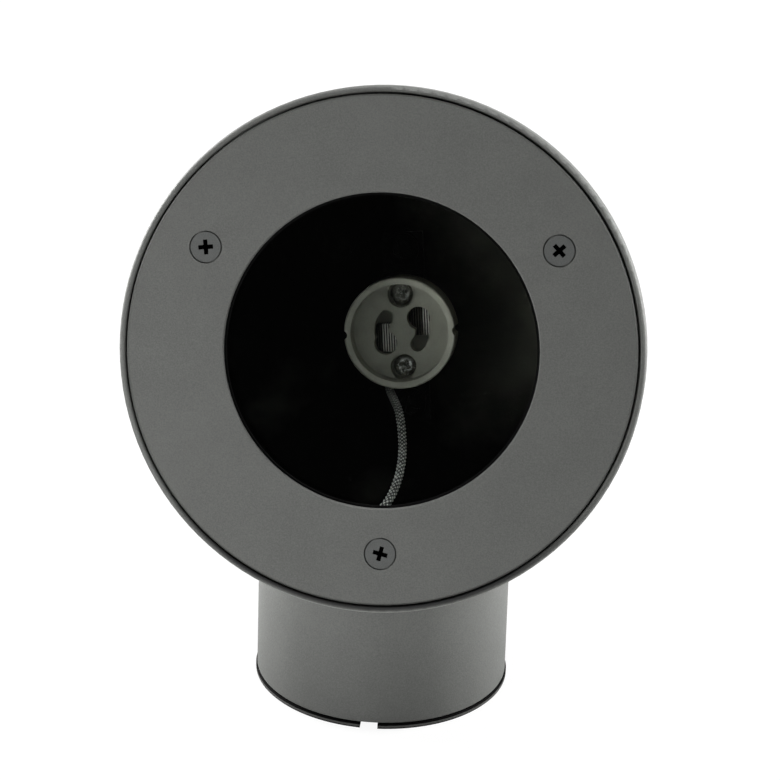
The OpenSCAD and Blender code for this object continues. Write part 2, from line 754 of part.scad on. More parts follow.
module lampholder_screws() color(zinc) at_holder() for (side = [-1, 1])
  translate([0, side * holder_screw_pitch / 2, -holder_face - counterbore_depth])
    pan_screw(m3, holder_back + bracket_t + holder_screw_out - holder_face - counterbore_depth,
      holder_cross * side);

module lampholder_bracket() color(steel) at_holder() difference() {
  union() {
    translate([-bracket_w / 2, -bracket_leg_y, -holder_back - bracket_t])
      cube([bracket_w, 2 * bracket_leg_y, bracket_t]);
    for (side = [0, 1]) mirror([0, side, 0]) {
      translate([-bracket_w / 2, bracket_leg_y - bracket_t, -bracket_foot_back])
        cube([bracket_w, bracket_t, bracket_foot_back - holder_back]);
      translate([-bracket_w / 2, bracket_leg_y - bracket_t, -bracket_foot_back])
        cube([bracket_w, bracket_foot, bracket_t]);
    }
  }
  for (side = [-1, 1]) {
    translate([0, side * holder_screw_pitch / 2, 0])
      depth_ring(m3_d / 2 + thread_fit, holder_back - cut, holder_back + bracket_t + cut);
    translate([0, side * bracket_screw_y, 0])
      depth_ring(m4_d / 2 + through_fit, bracket_foot_back - bracket_t - cut, bracket_foot_back + cut);
  }
}

module bracket_screws() color(zinc) at_holder() for (side = [-1, 1])
  translate([0, side * bracket_screw_y, bracket_t - bracket_foot_back])
    pan_screw(m4, bracket_screw_l, bracket_cross * side);

module cover_seal() color(black_rubber) at_head()
  depth_ring(pocket_r - cover_seal_edge, cover_t + parting_gap, seat_depth,
    pocket_r - cover_seal_edge - cover_seal_w);

module cover_ring() color(coat) at_head() difference() {
  union() {
    rotate_extrude() difference() {
      translate([window_r, -cover_t]) square([cover_w, cover_t]);
      translate([0, -cover_t - cut]) square([glass_r + glass_fit, cover_t + cut - window_lip_t]);
      translate([cover_r, 0]) rotate(45) square(cover_bevel * sqrt(2), center = true);
      translate([window_r, 0]) rotate(45) square(cover_bevel * sqrt(2), center = true);
    }
    at_cover(clip_r, clip_first) depth_ring(clip_boss_r, cover_t - eps, glass_back);
  }
  at_cover(cover_pcd / 2, cover_screw_first) {
    depth_ring(m4_d / 2 + through_fit, -cut, cover_t + cut);
    depth_ring(csk_head_d / 2 + csk_ring, -cut, csk_sink + csk_rim_h + csk_ring);
    translate([0, 0, -csk_cone_h - csk_ring]) cylinder(r1 = m4_d / 2 + through_fit,
      r2 = m4_d / 2 + through_fit + seat_cone_h, h = seat_cone_h + eps);
  }
  at_cover(clip_r, clip_first) depth_ring(m3_d / 2 + thread_fit, clip_hole_front, glass_back + cut);
}

module cover_screws() color(steel) at_head() for (i = [0 : cover_screw_count - 1])
  let (place = cover_screw_first + i * 360 / cover_screw_count)
    rotate([0, 0, place + cover_turn]) translate([cover_pcd / 2, 0, 0]) difference() {
      union() {
        depth_ring(csk_head_d / 2, csk_sink, csk_sink + csk_rim_h);
        translate([0, 0, -csk_sink - csk_rim_h - csk_cone_h])
          cylinder(r1 = m4_d / 2, r2 = csk_head_d / 2, h = csk_cone_h);
        depth_ring(m4_d / 2, csk_sink + csk_rim_h, cover_screw_l);
      }
      translate([0, 0, -csk_sink - cross_depth]) rotate([0, 0, cross_turns[i] - place - cover_turn])
        cross_recess(cross_span, cross_w, cross_depth + cut);
    }

module screw_seals() color(black_rubber) at_head() at_cover(cover_pcd / 2, cover_screw_first)
  translate([0, 0, -cover_t - parting_gap - screw_seal_d / 2]) rotate_extrude()
    translate([m4_d / 2 + thread_fit + screw_seal_d / 2, 0]) circle(d = screw_seal_d);

module glass_seal() color(black_rubber) at_head()
  depth_ring(glass_r, window_lip_t, glass_front, window_r - glass_seal_show);

module glass_lens() color("#cfe0dc", 0.35) at_head() rotate_extrude() difference() {
  translate([0, -glass_back]) square([glass_r, glass_t]);
  for (z = [-glass_front, -glass_back])
    translate([glass_r, z]) rotate(45) square(glass_bevel * sqrt(2), center = true);
}

module glass_clips() color(steel) at_head() at_cover(clip_r, clip_first)
  translate([0, 0, -glass_back - clip_t]) linear_extrude(clip_t) difference() {
    union() {
      translate([-clip_reach, -clip_w / 2]) square([clip_reach, clip_w]);
      circle(d = clip_w);
    }
    circle(d = m3_d + 2 * through_fit);
  }

module clip_screws() color(zinc) at_head() at_cover(clip_r, clip_first)
  translate([0, 0, -glass_back - clip_t]) rotate([180, 0, 0]) pan_screw(m3, clip_screw_l, clip_cross);

base_pad();
mounting_foot();
cable_grommet();
cord_clamp();
clamp_screws();
terminal_block();
terminal_screws();
terminal_fixing_screw();
earth_screw();
earth_lead();
post_tube();
foot_set_screws();
head_set_screws();
head_housing();
lead_grommet();
lamp_lead();
lead_cores();
lampholder_body();
lampholder_contacts();
lampholder_screws();
lampholder_bracket();
bracket_screws();
cover_seal();
cover_ring();
cover_screws();
screw_seals();
glass_seal();
glass_lens();
glass_clips();
clip_screws();
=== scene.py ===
# %% [markdown]
# A garden spotlight, dressed for its picture
#
# The real object is a short outdoor spotlight. A round head of cast aluminium sits tilted on a stub of
# aluminium tube. Its face is a ring held by three countersunk screws, and behind the ring lies a pane of
# glass. The chamber behind the glass is black, and in it stands a ceramic lampholder on a braided lead.
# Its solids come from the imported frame, at their real size and place. This script gives every surface its
# finish, models what a solid can't show, sets up the camera and the light, and changes no size.

# %% Load the frame
import math
import json

import bpy
import bmesh
from mathutils import Matrix, Vector


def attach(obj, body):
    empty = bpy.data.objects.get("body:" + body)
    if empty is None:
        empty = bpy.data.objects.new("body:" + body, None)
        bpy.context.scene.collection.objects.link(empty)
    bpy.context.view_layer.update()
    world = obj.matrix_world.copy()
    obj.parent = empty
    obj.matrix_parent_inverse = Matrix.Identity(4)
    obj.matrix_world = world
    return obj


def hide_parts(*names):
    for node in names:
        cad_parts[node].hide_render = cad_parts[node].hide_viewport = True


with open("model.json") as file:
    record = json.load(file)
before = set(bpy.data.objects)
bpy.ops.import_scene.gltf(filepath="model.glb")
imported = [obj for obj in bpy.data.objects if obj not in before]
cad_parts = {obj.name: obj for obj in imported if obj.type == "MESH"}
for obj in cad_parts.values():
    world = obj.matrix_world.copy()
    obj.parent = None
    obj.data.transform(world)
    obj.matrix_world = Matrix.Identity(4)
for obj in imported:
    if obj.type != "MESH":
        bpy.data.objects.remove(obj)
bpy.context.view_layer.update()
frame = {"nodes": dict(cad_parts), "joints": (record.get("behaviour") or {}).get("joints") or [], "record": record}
nodes = frame["nodes"]
MM = 0.001

# %% [markdown]
# The head has a frame of its own, and most pieces line up with it. The cover lifts off along the head's
# axis, so the joint's axis says how far the head is tilted, and the mount in the middle of the lampholder
# lies on that axis. With both, a place can be given as right, up the face and depth behind the face,
# which is how a maker would measure it on the bench.

# %% The head's own frame
SOCKET_DEPTH = 62 * MM
out_of_face = Vector(frame["joints"][0]["axis"]).normalized()
into_face = -out_of_face
right = Vector((1, 0, 0))
up_face = out_of_face.cross(right).normalized()
socket_mount = next(m for m in frame["record"]["mounts"] if m["name"] == "lamp_socket")
face_centre = Vector(socket_mount["pos_m"]) + out_of_face * SOCKET_DEPTH


def in_head(x, u, depth):
    """A point given in millimetres as right, up the face and depth behind it."""
    return face_centre + right * (x * MM) + up_face * (u * MM) + into_face * (depth * MM)


print("tilt of the head:", round(math.degrees(math.asin(out_of_face.z)), 2), "degrees")

# %% [markdown]
# The camera comes before the looks, because everything is judged through it. A product like this is
# photographed from a little above with a long lens, which keeps the round face nearly a circle. The
# camera is placed by its angle round the object, its height angle and its distance, and rolled a little,
# as it was in the photograph. Its lens is set once for a sensor of 36 mm.

# %% Camera
CAMERA_TARGET = Vector((0.17, 0, 74.43)) * MM
CAMERA_DISTANCE = 973.5 * MM
CAMERA_AZIMUTH = math.radians(4.79)
CAMERA_ELEVATION = math.radians(25.43)
CAMERA_ROLL = math.radians(1.72)
CAMERA_LENS = 191.15
CAMERA_NEAREST = 10 * MM
SENSOR = 36.0


def place_camera():
    """Builds the camera's turn from its three axes, so that the roll is exact."""
    towards_camera = Vector((
        math.cos(CAMERA_ELEVATION) * math.sin(CAMERA_AZIMUTH),
        -math.cos(CAMERA_ELEVATION) * math.cos(CAMERA_AZIMUTH),
        math.sin(CAMERA_ELEVATION),
    ))
    level_right = Vector((0, 0, 1)).cross(towards_camera).normalized()
    level_up = towards_camera.cross(level_right)
    camera_right = math.cos(CAMERA_ROLL) * level_right + math.sin(CAMERA_ROLL) * level_up
    camera_up = math.cos(CAMERA_ROLL) * level_up - math.sin(CAMERA_ROLL) * level_right
    turn = Matrix((camera_right, camera_up, towards_camera)).transposed().to_4x4()
    data = bpy.data.cameras.new("camera")
    data.lens = CAMERA_LENS
    data.sensor_width = SENSOR
    data.clip_start = CAMERA_NEAREST
    camera = bpy.data.objects.new("camera", data)
    bpy.context.scene.collection.objects.link(camera)
    camera.matrix_world = Matrix.Translation(CAMERA_TARGET + towards_camera * CAMERA_DISTANCE) @ turn
    bpy.context.scene.camera = camera
    return camera


camera = place_camera()
bpy.context.scene.view_settings.view_transform = "Standard"
print("camera at", [round(x, 3) for x in camera.matrix_world.translation])

# %% [markdown]
# Every finish below is a small graph of shader nodes. A few helpers keep those graphs readable: one starts
# a material, and one adds a node with its settings. The others do arithmetic, add noise, spread it over a
# range, and turn it into colours or relief. All grain is sized in the object's own metres, so a speck of
# powder is as large as a real one. Noise stays mostly between 0.3 and 0.7, so only that part is spread.

# %% Helpers for materials
NOISE_MIDDLE = (0.3, 0.7)


def start_material(name):
    """A material with nodes, and its tree and surface shader."""
    material = bpy.data.materials.new(name)
    material.use_nodes = True
    tree = material.node_tree
    return material, tree, tree.nodes["Principled BSDF"]


def set_inputs(tree, node, values):
    """Gives each named input a fixed value, or a link from another node."""
    for socket, value in values.items():
        if isinstance(value, bpy.types.NodeSocket):
            tree.links.new(value, node.inputs[socket])
        else:
            node.inputs[socket].default_value = value


def add_node(tree, kind, values=None, **settings):
    """A node of that kind, with its settings and the values of its inputs."""
    node = tree.nodes.new(kind)
    for key, value in settings.items():
        setattr(node, key, value)
    set_inputs(tree, node, values or {})
    return node


def add_math(tree, operation, *values):
    """The result of a calculation on one, two or three numbers."""
    return add_node(tree, "ShaderNodeMath", dict(enumerate(values)), operation=operation).outputs[0]


def place_of(tree):
    """The place on the object, in metres."""
    return add_node(tree, "ShaderNodeTexCoord").outputs["Object"]


def add_noise(tree, grain_mm, detail=2.0, rough=0.5):
    """Noise whose features are about that many millimetres apart."""
    return add_node(tree, "ShaderNodeTexNoise", {
        "Vector": place_of(tree), "Scale": 1 / (grain_mm * MM), "Detail": detail, "Roughness": rough,
    }).outputs["Fac"]


def add_range(tree, value, low, high, to_low, to_high):
    """Maps a value from one range to another, and stops at the ends."""
    return add_node(tree, "ShaderNodeMapRange", {
        "Value": value, "From Min": low, "From Max": high, "To Min": to_low, "To Max": to_high,
    }).outputs["Result"]


def spread(tree, noise, low, high):
    """Spreads the middle part of a noise from low to high."""
    return add_range(tree, noise, *NOISE_MIDDLE, low, high)


def add_ramp(tree, value, stops):
    """Colours along a value: each stop is a place from 0 to 1 and a colour."""
    node = add_node(tree, "ShaderNodeValToRGB", {"Fac": value})
    ramp = node.color_ramp
    while len(ramp.elements) < len(stops):
        ramp.elements.new(0.5)
    for element, (place, colour) in zip(ramp.elements, stops):
        element.position = place
        element.color = (*colour, 1)
    return node.outputs["Color"]


def two_tones(tree, noise, dark, light):
    """Goes from the dark to the light colour along the middle part of a noise."""
    return add_ramp(tree, noise, list(zip(NOISE_MIDDLE, (dark, light))))


def add_bump(tree, shader, height, depth_mm):
    """Turns a height from 0 to 1 into a relief that many millimetres deep."""
    bump = add_node(tree, "ShaderNodeBump", {"Height": height, "Distance": depth_mm * MM, "Strength": 1.0})
    set_inputs(tree, shader, {"Normal": bump.outputs["Normal"]})


print("noise is spread from", NOISE_MIDDLE[0], "to", NOISE_MIDDLE[1])

# %% [markdown]
# Powder coat is the finish that makes this object. It is sprayed as a dry powder and baked, which leaves
# a fine, even grain with a low sheen. Two sizes of noise give it: specks of a third of a millimetre, and
# a slower drift of tone. A third noise drives a shallow relief and the sheen together, so the sheen breaks
# up as on the real coat.

# %% Powder coat
COAT_DARK = (0.101, 0.104, 0.098)
COAT_LIGHT = (0.143, 0.147, 0.138)
COAT_ROUGHNESS = (0.48, 0.62)
DRIFT_AMOUNT = (-0.05, 0.05)
PLAIN_INDEX = 1.5
PLAIN_GLOSS = 0.5


def scaled(tree, vector, amount):
    """A vector made longer, or a colour made lighter, by the amount."""
    node = add_node(tree, "ShaderNodeVectorMath", {0: vector, "Scale": amount}, operation="SCALE")
    return node.outputs[0]


def coat_nodes(tree, shader):
    """The colour and the roughness of the powder coat. Its relief goes straight to the shader."""
    specks = add_noise(tree, grain_mm=0.32, detail=3)
    drift = add_noise(tree, grain_mm=9, detail=2)
    tone = add_math(tree, "ADD", specks, spread(tree, drift, *DRIFT_AMOUNT))
    relief = add_noise(tree, grain_mm=0.45, detail=2)
    add_bump(tree, shader, relief, depth_mm=0.035)
    return two_tones(tree, tone, COAT_DARK, COAT_LIGHT), spread(tree, relief, *COAT_ROUGHNESS)


def make_powder_coat(name, tone_maker, gloss_maker=None):
    """The coat on one kind of piece, with the tone and, where it differs, the gloss of its edges."""
    material, tree, shader = start_material(name)
    colour, rough = coat_nodes(tree, shader)
    set_inputs(tree, shader, {
        "Base Color": scaled(tree, colour, tone_maker(tree)),
        "Roughness": rough,
        "Specular IOR Level": gloss_maker(tree) if gloss_maker else PLAIN_GLOSS,
        "IOR": PLAIN_INDEX,
    })
    return material


print("powder coat between", COAT_DARK, "and", COAT_LIGHT)

# %% [markdown]
# Painted light and shade, and the black inside of the housing, sit at definite places, so a finish needs to
# know where the shaded point lies. On the post a height above the ground says enough. On the head a place is
# measured as on the bench, in the head's own frame: depth behind the face, distance from the axis, and height
# up the face.

# %% Where a point lies
def height_of(tree):
    """The height above the ground, in metres."""
    return add_node(tree, "ShaderNodeSeparateXYZ", {"Vector": place_of(tree)}).outputs["Z"]


def add_vector_math(tree, operation, *values):
    """The result of a calculation on vectors. A length, a distance or a dot product is a number."""
    node = add_node(tree, "ShaderNodeVectorMath", dict(enumerate(values)), operation=operation)
    gives_number = operation in ("LENGTH", "DISTANCE", "DOT_PRODUCT")
    return node.outputs["Value" if gives_number else "Vector"]


def from_face_centre(tree):
    """The way from the middle of the face to the shaded point."""
    return add_vector_math(tree, "SUBTRACT", place_of(tree), face_centre)


def place_in_head(tree):
    """Depth behind the face, distance from the head's axis, and height up the face, in metres."""
    way = from_face_centre(tree)
    depth = add_vector_math(tree, "DOT_PRODUCT", way, into_face)
    height = add_vector_math(tree, "DOT_PRODUCT", way, up_face)
    across = add_vector_math(tree, "DISTANCE", way, scaled(tree, into_face, depth))
    return depth, across, height


print("middle of the face:", [round(c, 4) for c in face_centre])

# %% [markdown]
# Edges and the lower tube get painted light and shade in the coat's tone. The tube's lower rim is painted
# lighter, a painted highlight, and the tube just above it is painted darker towards the bottom, as painted
# shade. The ring's outer bevel is painted darker, as painted shade. Each is a range of places, with a tone at
# either end.

# %% Tube and ring
# Painted light: a highlight painted on the tube's lower bevel, and shade painted on the tube just above it.
TUBE_FOOT = (1.5 * MM, 1.9 * MM)
TUBE_FOOT_HIGHLIGHT_TONES = (1.6, 1.0)
TUBE_SHADED_SPAN = (2 * MM, 26 * MM)
TUBE_SHADE_TONES = (0.83, 1.04)
# The ring's outer bevel is painted darker: painted shade.
RING_BEVEL = (57.9 * MM, 58.1 * MM)
RING_BEVEL_SHADE_TONES = (1.0, 0.55)
DULL_GLOSS = 0.05


def tube_highlight_and_shade(tree):
    """A painted highlight on the bevel at the tube's lower end, and painted shade that darkens the tube towards
    the bottom above it.
    """
    height = height_of(tree)
    bevel = add_range(tree, height, *TUBE_FOOT, *TUBE_FOOT_HIGHLIGHT_TONES)
    shaded_lower = add_range(tree, height, *TUBE_SHADED_SPAN, *TUBE_SHADE_TONES)
    return add_math(tree, "MULTIPLY", bevel, shaded_lower)


def ring_bevel_shade(tree):
    """Painted shade on the ring's outer bevel."""
    return add_range(tree, place_in_head(tree)[1], *RING_BEVEL, *RING_BEVEL_SHADE_TONES)


def ring_gloss(tree):
    """Almost no gloss on the ring's outer bevel."""
    return add_range(tree, place_in_head(tree)[1], *RING_BEVEL, PLAIN_GLOSS, DULL_GLOSS)


tube_coat = make_powder_coat("tube_coat", tube_highlight_and_shade)
ring_coat = make_powder_coat("ring_coat", ring_bevel_shade, ring_gloss)
print("coats:", tube_coat.name, ring_coat.name)

# %% [markdown]
# On the low side of the groove round the ring a dark band is painted, a painted shadow where the proud ring
# would shade the lip from the light above, and a bright rim below it, a painted highlight. So the tone of the
# housing's lip is a row of tones from its inner to its outer edge, used only near the face and only on the
# low side.

# %% Painted shadow and highlight on the lip
LIP_INNER = 58.75 * MM
LIP_OUTER = 60.3 * MM
LIP_BACK = 5 * MM
LOW_SIDE = (-34 * MM, -50 * MM)
# Painted shadow near the groove and a painted highlight on the lip's outer rim.
LIP_SHADOW_AND_HIGHLIGHT_TONES = [(0.0, 0.01), (0.36, 0.04), (0.50, 0.22), (0.66, 0.58), (0.80, 1.1), (0.91, 2.0)]
MOST_TONE = 2.0


def add_blend(tree, factor, a, b, kind="FLOAT"):
    """Goes from a to b as the factor goes from 0 to 1: numbers, or colours where the kind is RGBA."""
    node = add_node(tree, "ShaderNodeMix", {"Factor": factor, "A": a, "B": b}, data_type=kind)
    return node.outputs["Result"]


def lip_shadow_and_highlight(tree, depth, across, height):
    """A painted shadow in the groove round the ring and a painted highlight on the rim below it, on the low side
    of the head.
    """
    share = add_range(tree, across, LIP_INNER, LIP_OUTER, 0, 1)
    stops = [(at, (tone / MOST_TONE,) * 3) for at, tone in LIP_SHADOW_AND_HIGHLIGHT_TONES]
    lip_painted_light = add_math(tree, "MULTIPLY", add_ramp(tree, share, stops), MOST_TONE)
    low = add_range(tree, height, *LOW_SIDE, 0, 1)
    in_front = add_math(tree, "LESS_THAN", depth, LIP_BACK)
    return add_blend(tree, add_math(tree, "MULTIPLY", low, in_front), 1.0, lip_painted_light)


# The lip's painted shadow and highlight lie in this range from the axis.
print("dirt on the lip, from", round(LIP_INNER / MM, 2), "to", round(LIP_OUTER / MM, 2), "mm from the axis")

# %% [markdown]
# The housing wears the powder coat outside and a dull black inside. The border between the two follows the
# housing's own wall: a distance from a rounded drum that lies halfway through the wall. The black drifts in
# large clouds, and on the upper right of the chamber it is painted grey: painted light, where the low lamp
# would light the wall.

# %% Housing
DRUM_RADIUS = 35 * MM
DRUM_DEPTH = 66 * MM
WALL_MIDDLE = 16 * MM
SEAT_DEPTH = 3.5 * MM
CHAMBER_DARK = (0.003, 0.003, 0.003)
CHAMBER_LIGHT = (0.080, 0.079, 0.066)
CHAMBER_TONES = [(0.35, CHAMBER_DARK), (0.80, CHAMBER_LIGHT)]
CHAMBER_ROUGHNESS = 0.95
# Painted light: the upper right of the chamber is painted grey where the low lamp would light the wall.
LIT_WALL_WAY = (0.65, 0, 0.50)
LIT_WALL_SPAN = (24 * MM, 65 * MM)
LIT_WALL_AMOUNT = (-0.2, 0.25)


def inside_mask(tree, depth, across):
    """1 on the walls of the chamber and 0 on the outside of the housing."""
    past_drum = add_node(tree, "ShaderNodeCombineXYZ", {
        "X": add_math(tree, "MAXIMUM", add_math(tree, "SUBTRACT", across, DRUM_RADIUS), 0.0),
        "Y": add_math(tree, "MAXIMUM", add_math(tree, "SUBTRACT", depth, DRUM_DEPTH), 0.0),
    }).outputs[0]
    within = add_math(tree, "LESS_THAN", add_vector_math(tree, "LENGTH", past_drum), WALL_MIDDLE)
    behind_seat = add_math(tree, "GREATER_THAN", depth, SEAT_DEPTH)
    return add_math(tree, "MULTIPLY", within, behind_seat)


def make_housing_coat():
    """Powder outside with the painted shadow and highlight on its lip, and black inside with painted light on the
    upper right.
    """
    material, tree, shader = start_material("housing_coat")
    colour, rough = coat_nodes(tree, shader)
    depth, across, height = place_in_head(tree)
    inside = inside_mask(tree, depth, across)
    # Painted light on the upper right wall of the chamber.
    towards_lit_wall = add_vector_math(tree, "DOT_PRODUCT", place_of(tree), LIT_WALL_WAY)
    painted_wall_light = add_range(tree, towards_lit_wall, *LIT_WALL_SPAN, *LIT_WALL_AMOUNT)
    cloudy_and_lit = add_math(tree, "ADD", add_noise(tree, grain_mm=22, detail=3), painted_wall_light)
    black_and_painted_light = add_ramp(tree, cloudy_and_lit, CHAMBER_TONES)
    powder = scaled(tree, colour, lip_shadow_and_highlight(tree, depth, across, height))
    set_inputs(tree, shader, {
        "Base Color": add_blend(tree, inside, powder, black_and_painted_light, kind="RGBA"),
        "Roughness": add_blend(tree, inside, rough, CHAMBER_ROUGHNESS),
        "Specular IOR Level": add_range(tree, inside, 0, 1, PLAIN_GLOSS, DULL_GLOSS),
        "IOR": PLAIN_INDEX,
    })
    return material


housing_coat = make_housing_coat()
print("coat:", housing_coat.name)

# %% [markdown]
# Rubber, ceramic and moulded plastic differ in grain and sheen. Rubber is nearly black and dull, with a
# faint bloom in large patches. The lampholder's ceramic is pressed and fired but not glazed: a warm grey
# with fine pores, painted lighter on the rim of its cup and darker on its floor, as painted light and shade.
# The terminal block is a milky plastic with a soft shine. One function serves them all, because each is a
# pair of tones, a grain, a sheen and a relief.

# %% Rubber, ceramic and plastic
PATCH_GRAINS = 12
PATCH_AMOUNT = (-0.12, 0.12)
PATCH_ROUGHNESS = 0.06
# Painted light and shade on the lampholder's cup: lighter on the rim, darker on the floor.
CUP_DEPTH = (SOCKET_DEPTH - 7.5 * MM, SOCKET_DEPTH - 1 * MM)
CUP_LIGHT_AND_SHADE_TONES = (1.20, 0.97)


def make_moulded(name, dark, light, grain_mm, rough, relief_mm, gloss=PLAIN_GLOSS, tone_maker=None):
    """A dull body colour that drifts between two tones, with a grain and a shallow relief."""
    material, tree, shader = start_material(name)
    grain = add_noise(tree, grain_mm, detail=4)
    patches = add_noise(tree, grain_mm * PATCH_GRAINS, detail=1)
    tone = add_math(tree, "ADD", grain, spread(tree, patches, *PATCH_AMOUNT))
    colour = two_tones(tree, tone, dark, light)
    if tone_maker:
        colour = scaled(tree, colour, tone_maker(tree))
    set_inputs(tree, shader, {
        "Base Color": colour,
        "Roughness": spread(tree, patches, rough - PATCH_ROUGHNESS, rough + PATCH_ROUGHNESS),
        "Specular IOR Level": gloss,
    })
    add_bump(tree, shader, grain, relief_mm)
    return material


def cup_light_and_shade(tree):
    """Painted light on the rim of the lampholder's cup and painted shade on its floor."""
    return add_range(tree, place_in_head(tree)[0], *CUP_DEPTH, *CUP_LIGHT_AND_SHADE_TONES)


black_rubber = make_moulded("black_rubber", (0.003, 0.003, 0.003), (0.007, 0.007, 0.007),
                            grain_mm=0.4, rough=0.80, relief_mm=0.02, gloss=DULL_GLOSS)
black_plastic = make_moulded("black_plastic", (0.020, 0.020, 0.021), (0.034, 0.034, 0.036),
                             grain_mm=0.3, rough=0.45, relief_mm=0.01)
terminal_plastic = make_moulded("terminal_plastic", (0.62, 0.60, 0.52), (0.72, 0.70, 0.63),
                                grain_mm=0.5, rough=0.40, relief_mm=0.008)
core_sleeve = make_moulded("core_sleeve", (0.60, 0.58, 0.50), (0.72, 0.70, 0.62),
                           grain_mm=0.2, rough=0.55, relief_mm=0.01)
ceramic = make_moulded("ceramic", (0.325, 0.318, 0.270), (0.405, 0.396, 0.338),
                       grain_mm=0.25, rough=0.58, relief_mm=0.02, tone_maker=cup_light_and_shade)
moulded = [black_rubber, black_plastic, terminal_plastic, core_sleeve, ceramic]
print("moulded:", ", ".join(material.name for material in moulded))

# %% [markdown]
# The pad under the foot is rubber too, but its edge is in full view and shows three bands. It is painted black
# where it meets the tube and the ground, as painted shade of the gap above and the contact below, and grey
# between.

# %% Pad rubber
PAD_HEIGHT = 1.5 * MM
# Painted shade: black bands where the pad meets the tube and the ground.
PAD_SHADE_BLACK = (0.001, 0.001, 0.001)
PAD_GREY = (0.088, 0.088, 0.085)
PAD_SHADE_BANDS = [(0.0, PAD_SHADE_BLACK), (0.26, PAD_SHADE_BLACK), (0.34, PAD_GREY), (0.62, PAD_GREY), (0.70, PAD_SHADE_BLACK)]
PAD_GLOSS = 0.02
PAD_UNEVEN = (0.8, 1.2)
PAD_ROUGHNESS = (0.60, 0.75)


def make_pad_rubber():
    """The pad's rubber, with its bands of painted shade and a fine grain."""
    material, tree, shader = start_material("pad_rubber")
    share = add_range(tree, height_of(tree), 0, PAD_HEIGHT, 0, 1)
    grain = spread(tree, add_noise(tree, grain_mm=0.4, detail=4), *PAD_UNEVEN)
    set_inputs(tree, shader, {
        "Base Color": scaled(tree, add_ramp(tree, share, PAD_SHADE_BANDS), grain),
        "Roughness": add_range(tree, grain, *PAD_UNEVEN, *PAD_ROUGHNESS),
        "Specular IOR Level": PAD_GLOSS,
    })
    return material


pad_rubber = make_pad_rubber()
print("rubber:", pad_rubber.name)

# %% [markdown]
# The plain metals are zinc on the small screws, satin stainless steel on the clips and set screws, brass on
# the earth screw, and a blackened steel on the lampholder's bracket. Metal has no colour of its own besides
# its reflection, so each one is a tint, a roughness that wanders, and fine scratches from the tool or the
# press.

# %% Plain metals
DARKER_GRAIN = 0.82
SCRATCH_ROUGHNESS = 0.08


def make_metal(name, tint, rough, grain_mm=0.25, relief_mm=0.004):
    """A metal whose tint, roughness and relief share one grain."""
    material, tree, shader = start_material(name)
    grain = add_noise(tree, grain_mm, detail=5, rough=0.6)
    darker = tuple(DARKER_GRAIN * c for c in tint)
    set_inputs(tree, shader, {
        "Metallic": 1.0,
        "Base Color": two_tones(tree, grain, darker, tint),
        "Roughness": spread(tree, grain, rough - SCRATCH_ROUGHNESS, rough + SCRATCH_ROUGHNESS),
    })
    add_bump(tree, shader, grain, relief_mm)
    return material


zinc_steel = make_metal("zinc_steel", (0.60, 0.61, 0.63), 0.28, relief_mm=0.002)
stainless_steel = make_metal("stainless_steel", (0.34, 0.34, 0.35), 0.38)
dark_bracket = make_metal("dark_bracket", (0.012, 0.012, 0.012), 0.60)
brass = make_metal("brass", (0.62, 0.46, 0.20), 0.30)
print("metals:", zinc_steel.name, stainless_steel.name, dark_bracket.name, brass.name)

# %% [markdown]
# The lampholder's contacts are nickel. Their left parts are painted dark, a painted shadow of the slot's left
# wall under light from the left, and the grooves between their ribs are painted darker, as painted shade. The
# lampholder is turned a little in the head, so left and right are measured along its own axis. Both contacts
# are alike, one pin pitch apart: the distance sideways, counted afresh at every pitch, gives both the same
# left part.

# %% Nickel contacts
HOLDER_TURN = math.radians(6)
PIN_PITCH = 10 * MM
# Painted shadow on the left part of each contact, and painted shade in the rib grooves.
SHADOW_EDGE_SPAN = (4.6 * MM, 5.2 * MM)
RIB_FIRST = 1.4 * MM
RIB_PITCH = 0.6 * MM
RIB_EDGES = (-0.5, 0.5)
RIB_GROOVE_SHADE_TONES = (0.10, 1.0)
CONTACT_SHADOW = (0.10, 0.095, 0.085)
NICKEL = (0.95, 0.93, 0.89)
NICKEL_TONES = (0.8, 1.0)
NICKEL_ROUGHNESS = (0.40, 0.52)
holder_right = right * math.cos(HOLDER_TURN) + up_face * math.sin(HOLDER_TURN)
holder_up = up_face * math.cos(HOLDER_TURN) - right * math.sin(HOLDER_TURN)


def rib_groove_shade(tree, sideways):
    """Bright on the crests of the contacts' ribs and painted shade in the grooves between them."""
    turn = 2 * math.pi / RIB_PITCH
    phase = add_math(tree, "MULTIPLY_ADD", add_math(tree, "ABSOLUTE", sideways), turn, -turn * RIB_FIRST)
    return add_range(tree, add_math(tree, "COSINE", phase), *RIB_EDGES, *RIB_GROOVE_SHADE_TONES)


def make_nickel():
    """Bright nickel, with a painted shadow on the left part of each contact."""
    material, tree, shader = start_material("nickel")
    sideways = add_vector_math(tree, "DOT_PRODUCT", from_face_centre(tree), holder_right)
    within_pitch = add_math(tree, "FLOORED_MODULO", sideways, PIN_PITCH)
    out_of_shadow = add_range(tree, within_pitch, *SHADOW_EDGE_SPAN, 0.0, 1.0)
    worn = add_noise(tree, grain_mm=0.8, detail=3)
    tint = add_ramp(tree, out_of_shadow, [(0.0, CONTACT_SHADOW), (1.0, NICKEL)])
    ribbed = scaled(tree, tint, rib_groove_shade(tree, sideways))
    set_inputs(tree, shader, {
        "Metallic": 1.0,
        "Base Color": scaled(tree, ribbed, spread(tree, worn, *NICKEL_TONES)),
        "Roughness": spread(tree, worn, *NICKEL_ROUGHNESS),
    })
    return material


nickel = make_nickel()
print("contacts:", nickel.name)

# %% [markdown]
# The cover screws are stainless screws, blackened so that they hardly show in the ring. Their finish is
# between paint and metal, so it is a dark coat with a little more sheen than the powder. The bottom of the
# cross is painted darker, as painted shade: below the head's flat face the coat fades to black.

